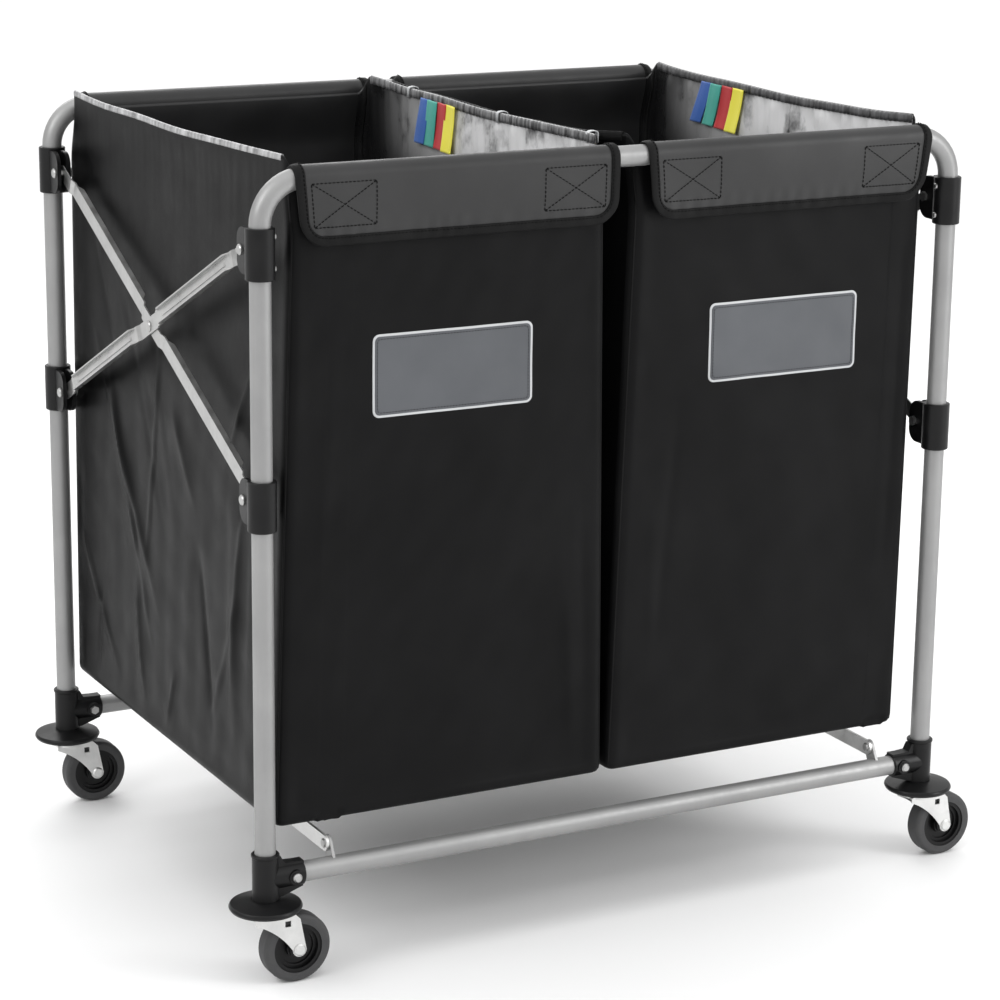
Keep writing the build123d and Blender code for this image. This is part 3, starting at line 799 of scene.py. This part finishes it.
def edge_tape(name, path, inward, drop, seed):
    """A gathered tape folded over a top edge. inward is the way to the bag's inside."""
    step = np.linalg.norm(np.diff(path, axis=0), axis=1)
    along = np.concatenate([[0.0], np.cumsum(step)])
    fine = np.linspace(0, along[-1], int(along[-1] / (1.6 * MM)))
    pts = np.stack([np.interp(fine, along, path[:, c]) for c in range(3)], axis=1)
    inward = np.array(inward, float)
    pucker = np.sin(2 * math.pi * fine / (8 * MM) + 1.8 * ripple(fine, 0 * fine, seed, 0.05))
    pucker = pucker * (0.7 + 0.3 * ripple(fine, 0 * fine, seed + 1, 0.09))
    pts = pts + inward * (0.45 * MM * pucker)[:, None]
    profile = [
        (-1.5, 1.0),
        (-1.6, 0.5),
        (-1.5, 0.15),
        (-0.9, -0.12),
        (0.0, -0.2),
        (0.9, -0.12),
        (1.5, 0.15),
        (1.6, 0.5),
        (1.5, 1.0),
    ]
    grid = np.zeros((len(profile), len(pts), 3))
    for i, (offset, low) in enumerate(profile):
        fall = low * drop + 0.35 * pucker * (low > 0.9)
        grid[i] = pts + inward * offset * MM
        grid[i, :, 2] -= fall * MM
    return grid_object(name, grid, cloth_uv(grid))


def build_bags():
    for bag, spec in enumerate(BAGS):
        name = spec["name"]
        obj, points, face = bag_shell(bag)
        check_outward(obj)
        sides = f"{name}_bag_sides"
        cloths = [BLACK_CLOTH, INNER_CLOTH, SHADED_SIDE_CLOTH, LINING_PAINTED_REFLECTION]
        make_piece(obj, "front_frame", cloths, squash=True)
        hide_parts(sides, f"{name}_bag_front", f"{name}_bag_rear")
        top_row = points[-1]
        for f, word, inward in ((1, "right", (-1, 0, 0)), (3, "left", (1, 0, 0))):
            cloth, drop = TAPES[bag, f]
            tape = edge_tape(f"{name}_bag_{word}_tape", top_row[face == f], inward, drop, 60 + f)
            thicken(tape, 0.6 * MM, offset=0.0)
            make_piece(tape, "front_frame", [cloth], squash=True)
        for corner in (4, 5, 6, 7):
            mask = np.flatnonzero(face == corner)
            column = points[6:, mask[len(mask) // 2]]
            seam = tube_mesh(f"{name}_bag_seam_{corner - 3}", column[::2], 1.5 * MM)
            make_piece(seam, "front_frame", [BINDING], squash=True)


# ---- flaps over the top rails ----
FLAP_R = TUBE_R + 1.5 * MM
FLAP_HANG = 67 * MM
FLAP_CORNER = 27 * MM
HEM_IN = 4 * MM


def flap_surface(end, x, s, lift, spec, seed):
    """A point of a flap: x across, s its distance from the top of the rail, positive outside."""
    left, right = spec["flap"]
    quarter = FLAP_R * math.pi / 2
    angle = np.clip(s, -quarter, quarter) / FLAP_R
    hang = np.clip(s - quarter, 0, None)
    inner = np.clip(-s - quarter, 0, None)
    share = hang / FLAP_HANG
    radius = FLAP_R + lift
    out = radius * np.sin(angle)
    z = RAIL_Z + radius * np.cos(angle) - hang - inner
    pucker = 1.0 * MM * ripple(x, 0 * x, seed, 0.09) + 0.5 * MM * ripple(x, s, seed + 2, 0.035)
    gathers = np.sin(2 * math.pi * x / (19 * MM) + 2.4 * ripple(x, 0 * x, seed + 4, 0.10))
    gathers = gathers * (0.6 + 0.4 * ripple(x, 0 * x, seed + 6, 0.13))
    low = np.clip((share - 0.55) / 0.3, 0, 1)
    out = out - 3.6 * MM * share**1.4 + pucker * share**2
    out = out + 0.75 * MM * gathers * smoothstep(low) * (1 - 0.5 * smoothstep((share - 0.9) / 0.1))
    out = out + 1.6 * MM * np.sin(math.pi * np.clip(share, 0, 1)) * (
        0.4 + 0.6 * np.sin(math.pi * np.clip((x - left) / (right - left), 0, 1))
    )
    # the flap narrows a little as it hangs, and follows the rail down its bends
    middle = (left + right) / 2
    narrow = 8 * MM * share * np.clip(np.abs(x - middle) / (right - left) * 2, 0, 1) ** 3
    if spec["name"] == "left":
        narrow = narrow * (x < middle)
    x = x - np.sign(x - middle) * narrow
    past = np.clip(np.abs(x) - (LEG_X - BEND_R), 0, BEND_R)
    z = z - (BEND_R - np.sqrt(BEND_R**2 - past**2))
    y = end * (FRAME_Y + out)
    return np.stack([x + 0 * s, y, z], axis=-1)


def flap_low(x, spec):
    """Where a flap's lower edge lies at x, as a distance along the cloth, with round corners."""
    left, right = spec["flap"]
    full = FLAP_R * math.pi / 2 + FLAP_HANG
    near = np.minimum(x - left, right - x)
    bite = np.clip(FLAP_CORNER - near, 0, FLAP_CORNER)
    return full - (FLAP_CORNER - np.sqrt(FLAP_CORNER**2 - bite**2))


def build_flap(end, bag):
    spec = BAGS[bag]
    left, right = spec["flap"]
    seed = 300 + 20 * bag + (5 if end > 0 else 0)
    share = np.linspace(0, 1, 110)
    ease = (1 - np.cos(share * math.pi)) / 2
    x = left + (right - left) * (0.35 * share + 0.65 * ease)
    start = -(FLAP_R * math.pi / 2 + HEM_IN)
    rows = np.linspace(0, 1, 64)
    low = flap_low(x, spec)
    s = start + (low[None, :] - start) * rows[:, None]
    grid_x = np.repeat(x[None, :], len(rows), axis=0)
    points = flap_surface(end, grid_x, s, 0.0, spec, seed)
    word = "front" if end == FRONT else "rear"
    flap = grid_object(f"{spec['name']}_flap_{word}", points, cloth_uv(points))
    thicken(flap, 1.1 * MM, offset=0.0)
    body = f"{word}_frame"
    make_piece(flap, body, [FLAP_CLOTH])
    build_binding(end, bag, seed, body, word)
    build_box_stitches(end, bag, seed, body, word)


def boundary(spec, inset):
    """The outline of a flap's outside, inset from its edge, as (x, s) pairs."""
    left, right = spec["flap"]
    left, right = left + inset, right - inset
    radius = FLAP_CORNER - inset
    low = FLAP_R * math.pi / 2 + FLAP_HANG - inset
    top = -(FLAP_R * math.pi / 2 + HEM_IN * 0.6)
    pts = [(left, t) for t in np.linspace(top, low - radius, 40)]
    for k in range(1, 13):
        t = k / 12 * math.pi / 2
        pts.append((left + radius * (1 - math.cos(t)), low - radius * (1 - math.sin(t))))
    pts += [(t, low) for t in np.linspace(left + radius, right - radius, 90)[1:-1]]
    for k in range(12, -1, -1):
        t = k / 12 * math.pi / 2
        pts.append((right - radius * (1 - math.cos(t)), low - radius * (1 - math.sin(t))))
    pts += [(right, t) for t in np.linspace(low - radius, top, 40)[1:]]
    return np.array(pts)


def build_binding(end, bag, seed, body, word):
    """The tape sewn round a flap's free edges, folded over them."""
    spec = BAGS[bag]
    rows = []
    for inset, lift in ((9.0, 1.2), (8.6, 1.7), (4.5, 1.9), (0.5, 1.7), (-0.9, 0.9), (-1.1, 0.0),
                        (-0.9, -0.8), (0.5, -1.2), (5.0, -1.2)):
        line = boundary(spec, inset * MM)
        rows.append(flap_surface(end, line[:, 0], line[:, 1], lift * MM, spec, seed))
    grid = np.array(rows)
    tape = grid_object(f"{spec['name']}_flap_{word}_binding", grid, cloth_uv(grid))
    thicken(tape, 0.5 * MM, offset=0.0)
    make_piece(tape, body, [BINDING])
    line = boundary(spec, 7.2 * MM)
    run = flap_surface(end, line[:, 0], line[:, 1], 2.1 * MM, spec, seed)
    thread = stitches(
        f"{spec['name']}_flap_{word}_edge_stitching", [run], lambda p: flap_normal(end, p)
    )
    make_piece(thread, body, [THREAD])


def flap_normal(end, point):
    """The way out of a flap's face at a point."""
    if point[2] < RAIL_Z:
        outside = abs(point[1]) > FRAME_Y
        return (0, end if outside else -end, 0)
    way = np.array([0, point[1] - end * FRAME_Y, point[2] - RAIL_Z])
    return way / np.linalg.norm(way)


def build_box_stitches(end, bag, seed, body, word):
    """A box with a cross sewn at each end of a flap, where the fastener tape is behind."""
    spec = BAGS[bag]
    left, right = spec["flap"]
    wide, tall, side = 71 * MM, 44 * MM, 15 * MM
    top = FLAP_R * math.pi / 2 + 5 * MM
    runs = []
    for x0 in (left + side, right - side - wide):
        x1, s0, s1 = x0 + wide, top, top + tall
        corners = [(x0, s0), (x1, s0), (x1, s1), (x0, s1), (x0, s0)]
        legs = list(zip(corners, corners[1:])) + [((x0, s0), (x1, s1)), ((x1, s0), (x0, s1))]
        for (ax, as_), (bx, bs) in legs:
            t = np.linspace(0, 1, 24)
            line_x, line_s = ax + (bx - ax) * t, as_ + (bs - as_) * t
            runs.append(flap_surface(end, line_x, line_s, 0.75 * MM, spec, seed))
    thread = stitches(
        f"{spec['name']}_flap_{word}_box_stitching", runs, lambda p: flap_normal(end, p)
    )
    make_piece(thread, body, [THREAD])


# ---- floors of the bags ----
def build_floors():
    """Each bag's floor in two halves, which the strut links fold up with them."""
    for end, word in ((FRONT, "front"), (REAR, "rear")):
        for bag, spec in enumerate(BAGS):
            left, right = spec["left_low"] + 17.5 * MM, spec["right_low"] - 17.5 * MM
            near, far = 0.3 * MM, 268 * MM
            u = np.linspace(0, 1, 60)
            v = np.linspace(0, 1, 46)
            grid = np.zeros((len(v), len(u), 3))
            x = left + (right - left) * u[None, :] + 0 * v[:, None]
            y = end * (near + (far - near) * v[:, None]) + 0 * u[None, :]
            out = np.abs(y)
            edge = np.minimum(np.minimum(x - left, right - x), far - out)
            sag = 0.8 * MM * smoothstep(edge / (70 * MM)) * smoothstep((out - 60 * MM) / (60 * MM))
            relief = 0.5 * MM * ripple(x, y, 500 + 10 * bag, 0.11) * smoothstep(edge / (40 * MM))
            relief = relief * smoothstep(out / (25 * MM))
            # the fold along the middle stands up a little, clear of the strut links when folded
            ridge = 2.4 * MM * (1 - smoothstep((out - 20 * MM) / (110 * MM)))
            grid[..., 0], grid[..., 1] = x, y
            grid[..., 2] = BAG_LOW_Z + 2.4 * MM - sag + relief + ridge
            if end == REAR:
                grid = grid[::-1]
            floor = grid_object(f"{spec['name']}_bag_floor_{word}", grid, cloth_uv(grid))
            thicken(floor, 0.9 * MM, offset=0.0)
            make_piece(floor, f"{word}_bag_floor", [INNER_CLOTH])
            if bag == 0:
                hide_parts(f"{word}_bag_bases")


# ---- ribbons, clips and patches ----
def build_ribbons():
    """Four hanging colour tags on the right-hand wall of each bag."""
    width, long = 25 * MM, 54 * MM
    rows = (
        (0, -15.5 * MM, 125 * MM, 20.5 * MM, (12, 9, 6, 2)),
        (1, 372 * MM, 140 * MM, 23.5 * MM, (21, 17, 13, 10)),
    )
    for bag, wall_x, first, pitch, leans in rows:
        for k, (cloth, lean) in enumerate(zip(RIBBON_CLOTHS, leans)):
            u = np.linspace(-0.5, 0.5, 12)
            v = np.linspace(0, 1, 24)
            y = first - k * pitch + u[None, :] * width + 0 * v[:, None]
            b = (y + FRAME_Y) / (2 * FRAME_Y)
            top = side_edge_z(b, 7 + bag) - 5 * MM
            grid = np.zeros((len(v), len(u), 3))
            curl = np.sin(v[:, None] * 3.0 + 1.3 * k) + 0.35 * np.cos(u[None, :] * 6 + k)
            off = 4.2 * MM + 0.6 * MM * (k % 2) + 1.1 * MM * curl + 3.0 * MM * v[:, None]
            grid[..., 0] = wall_x - off
            grid[..., 1] = y + lean * MM * v[:, None] * (0.6 + 0.4 * v[:, None])
            grid[..., 2] = top - long * v[:, None] * math.cos(math.atan2(lean * MM, long))
            name = BAGS[bag]["name"]
            piece = grid_object(f"{cloth.name}_{name}", grid[::-1], cloth_uv(grid[::-1]))
            thicken(piece, 0.7 * MM, offset=0.0)
            make_piece(piece, "front_frame", [cloth], squash=True)
            if bag == 0 and k == 0:
                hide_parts("colour_ribbons")


def build_clips():
    """Small white clips that hold the two bags' neighbouring edges together."""
    for k, y in enumerate(CLIP_Y):
        b = (y + FRAME_Y) / (2 * FRAME_Y)
        z = float(side_edge_z(np.array([b]), 7)[0])
        x0, x1 = -18.5 * MM, -6.5 * MM
        path = [(x0, y, z - 9 * MM), (x0, y, z - 1 * MM)]
        for t in range(7):
            turn = math.pi - t * math.pi / 6
            path.append(
                ((x0 + x1) / 2 + (x1 - x0) / 2 * math.cos(turn), y, z + 1 * MM + 2.4 * MM * math.sin(turn))
            )
        path += [(x1, y, z - 1 * MM), (x1, y, z - 9 * MM)]
        strip = np.array(path)
        grid = np.stack([strip + np.array([0, w * MM, 0]) for w in (-2.6, -2.2, 0, 2.2, 2.6)], axis=0)
        clip = grid_object(f"divider_clip_{k + 1}", grid, cloth_uv(grid))
        thicken(clip, 1.0 * MM, offset=0.0)
        make_piece(clip, "front_frame", [PATCH_EDGE], squash=True)
        if k == 0:
            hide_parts("divider_clips")


def rounded_patch(name, centre, size, radius, lift, material, bag):
    """A thin plate of cloth with round corners, lying on a bag's front."""
    (cx, cz), (w, h) = centre, size
    corner = radius * (1 - np.cos(np.linspace(0, math.pi / 2, 9)))
    up = np.concatenate([corner, np.linspace(radius, h - radius, 30)[1:-1], (h - corner)[::-1]])
    near = np.minimum(up, h - up)
    bite = radius - np.sqrt(radius**2 - np.clip(radius - near, 0, radius) ** 2)
    across = np.linspace(-1, 1, 60)
    x = cx + (w / 2 - bite)[:, None] * across[None, :]
    z = cz - h / 2 + up[:, None] + 0 * across[None, :]
    y = -panel_y(z) - lift - front_relief(bag, x, z)
    grid = np.stack([x, y, z], axis=-1)
    piece = grid_object(name, grid, cloth_uv(grid))
    thicken(piece, 0.5 * MM, offset=0.0)
    return make_piece(piece, "front_frame", [material], squash=True)


def patch_thread(name, centre, size, radius, lift, bag):
    """The stitching round a patch."""
    (cx, cz), (w, h) = centre, size
    ring = []
    for sx, sz, start in ((1, -1, -90), (1, 1, 0), (-1, 1, 90), (-1, -1, 180)):
        for k in range(9):
            angle = math.radians(start + k * 90 / 8)
            ring.append((cx + sx * (w / 2 - radius) + radius * math.cos(angle),
                         cz + sz * (h / 2 - radius) + radius * math.sin(angle)))
    ring.append(ring[0])
    ring = np.array(ring)
    step = np.linalg.norm(np.diff(ring, axis=0), axis=1)
    along = np.concatenate([[0.0], np.cumsum(step)])
    fine = np.linspace(0, along[-1], 160)
    x, z = (np.interp(fine, along, ring[:, c]) for c in (0, 1))
    y = -panel_y(z) - lift - front_relief(bag, x, z)
    run = np.stack([x, y, z], axis=-1)
    thread = stitches(name, [run], lambda p: (0, -1, 0), pitch=3.4 * MM, length=2.4 * MM, radius=0.3 * MM)
    make_piece(thread, "front_frame", [THREAD], squash=True)


def front_relief(bag, x, z):
    """How far the front cloth of a bag stands out at x, z, as its shell has it."""
    spec = BAGS[bag]
    height = np.clip((z - BAG_LOW_Z) / (TOP_EDGE_Z - BAG_LOW_Z), 0, 1)
    left = spec["left_low"] + (spec["left_top"][0] - spec["left_low"]) * height
    right = spec["right_low"] + (spec["right_top"][0] - spec["right_low"]) * height
    a = (x - left) / (right - left)
    return face_relief(bag, 0, a * 0.37, z)


def build_patches():
    """A plain two-tone patch on each bag, with no mark or lettering."""
    for bag, (x0, x1) in enumerate(PATCH_X):
        centre = ((x0 + x1) / 2, PATCH_MIDDLE_Z)
        name = BAGS[bag]["name"]
        size = (x1 - x0, PATCH_TALL)
        edge = rounded_patch(f"{name}_patch_edge", centre, size, 7 * MM, 1.3 * MM, PATCH_EDGE, bag)
        inner = (size[0] - 5 * MM, size[1] - 5 * MM)
        rounded_patch(f"{name}_patch_face", centre, inner, 5 * MM, 1.8 * MM, PATCH, bag)
        seam = (size[0] - 10 * MM, size[1] - 10 * MM)
        patch_thread(f"{name}_patch_stitching", centre, seam, 3 * MM, 2.15 * MM, bag)
        if bag == 0:
            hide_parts("front_patches")


# ---- stage, light and camera ----
def build_stage():
    size = 80.0
    mesh = bpy.data.meshes.new("floor")
    half = size / 2
    mesh.from_pydata(
        [(-half, -half, 0), (half, -half, 0), (half, half, 0), (-half, half, 0)], [], [(0, 1, 2, 3)]
    )
    floor = bpy.data.objects.new("floor", mesh)
    bpy.context.scene.collection.objects.link(floor)
    floor.data.materials.append(floor_material())


def area_light(name, place, aim, size, power):
    data = bpy.data.lights.new(name, "AREA")
    data.shape = "RECTANGLE"
    data.size, data.size_y = size
    data.energy = power
    obj = bpy.data.objects.new(name, data)
    bpy.context.scene.collection.objects.link(obj)
    obj.location = place
    obj.rotation_euler = (Vector(aim) - Vector(place)).to_track_quat("-Z", "Y").to_euler()


def build_light():
    """A soft white studio: a bright sky that fades towards the horizon, and three soft boxes."""
    world = bpy.data.worlds.new("studio")
    bpy.context.scene.world = world
    world.use_nodes = True
    nodes, links = world.node_tree.nodes, world.node_tree.links
    sky = nodes["Background"]
    sky.inputs["Color"].default_value = (1, 1, 1, 1)
    where = nodes.new("ShaderNodeTexCoord")
    split = nodes.new("ShaderNodeSeparateXYZ")
    links.new(where.outputs["Generated"], split.inputs[0])
    rise = nodes.new("ShaderNodeMapRange")
    rise.inputs["From Min"].default_value = 0.0
    rise.inputs["From Max"].default_value = 0.9
    rise.inputs["To Min"].default_value = 0.55
    rise.inputs["To Max"].default_value = 1.45
    links.new(split.outputs["Z"], rise.inputs["Value"])
    links.new(rise.outputs["Result"], sky.inputs["Strength"])
    area_light("key", (-2.8, -0.6, 2.4), (0, 0, 0.5), (1.6, 1.6), 34)
    area_light("side", (2.2, -2.6, 1.6), (0.1, 0, 0.5), (1.0, 2.0), 45)
    area_light("back", (0.4, 2.8, 2.4), (0, 0, 0.6), (2.5, 1.2), 30)


def build_camera():
    """A long lens from the front left, a little above the cart, with a slight roll."""
    yaw, pitch, roll = (math.radians(t) for t in CAMERA_TURN)
    right = Vector((math.cos(yaw), math.sin(yaw), 0))
    ahead = Vector((-math.sin(yaw) * math.cos(pitch), math.cos(yaw) * math.cos(pitch), -math.sin(pitch)))
    up = right.cross(ahead)
    rolled = math.cos(roll) * right + math.sin(roll) * up
    top = -math.sin(roll) * right + math.cos(roll) * up
    data = bpy.data.cameras.new("camera")
    data.lens = LENS_MM
    data.sensor_width = 36
    data.clip_end = 50
    camera = bpy.data.objects.new("camera", data)
    bpy.context.scene.collection.objects.link(camera)
    camera.matrix_world = Matrix((*zip(rolled, top, -ahead, CAMERA_PLACE), (0, 0, 0, 1)))
    bpy.context.scene.camera = camera


build_camera()
build_stage()
build_light()
dress_nodes()
build_bags()
for flap_end in (FRONT, REAR):
    for flap_bag in (0, 1):
        build_flap(flap_end, flap_bag)
build_floors()
build_ribbons()
build_clips()
build_patches()
bpy.context.scene.view_settings.view_transform = "Standard"
